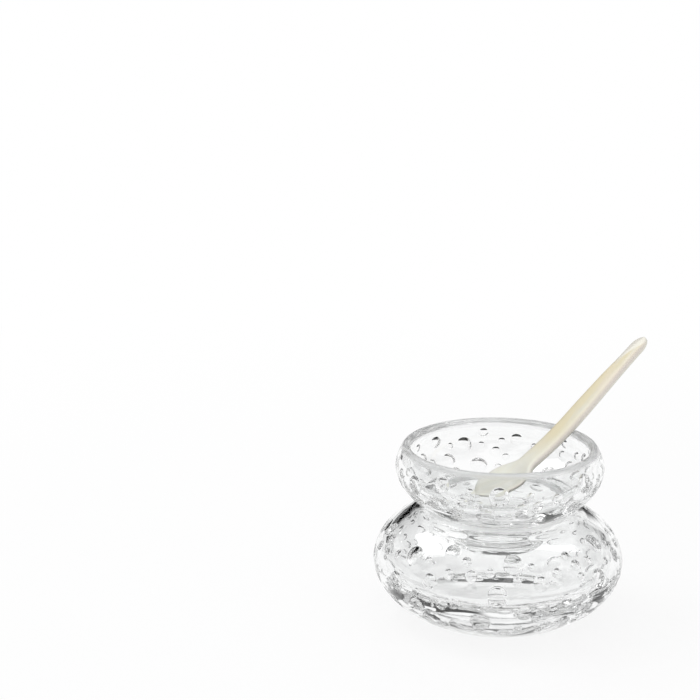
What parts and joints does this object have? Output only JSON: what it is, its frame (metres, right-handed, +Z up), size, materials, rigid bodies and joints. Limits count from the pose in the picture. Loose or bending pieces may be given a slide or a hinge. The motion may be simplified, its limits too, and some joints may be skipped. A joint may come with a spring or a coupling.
{
  "type": "caviar server",
  "caption": "Two-tier cut-crystal caviar server: a wide ice bowl, a smaller footed caviar bowl seated on its lip, and a mother-of-pearl spoon.",
  "frame": {"origin": "centre of the ice bowl's flat base", "axes": "+Z up along the common axis of both bowls, -Y towards the viewer, +X to the viewer's right; the spoon's handle leans over the rim towards +X and +Y"},
  "size_m": [0.1251, 0.1147, 0.1212],
  "materials": {
    "crystal": "polished clear crystal with scattered hollow lens cuts",
    "mother_of_pearl": "polished pearly shell, cream to white with faint pink and blue"
  },
  "bodies": {
    "lower": {"ice_bowl": "crystal"},
    "upper": {"caviar_bowl": "crystal"},
    "spoon": {"spoon": "mother_of_pearl"}
  },
  "joints": [
    {"name": "caviar_bowl_lift", "type": "slide", "parent": "lower", "child": "upper", "axis": [0, 0, 1], "range_m": [0, 0.12]},
    {"name": "spoon_lift", "type": "slide", "parent": "upper", "child": "spoon", "axis": [0, 0, 1], "range_m": [0, 0.1]}
  ]
}
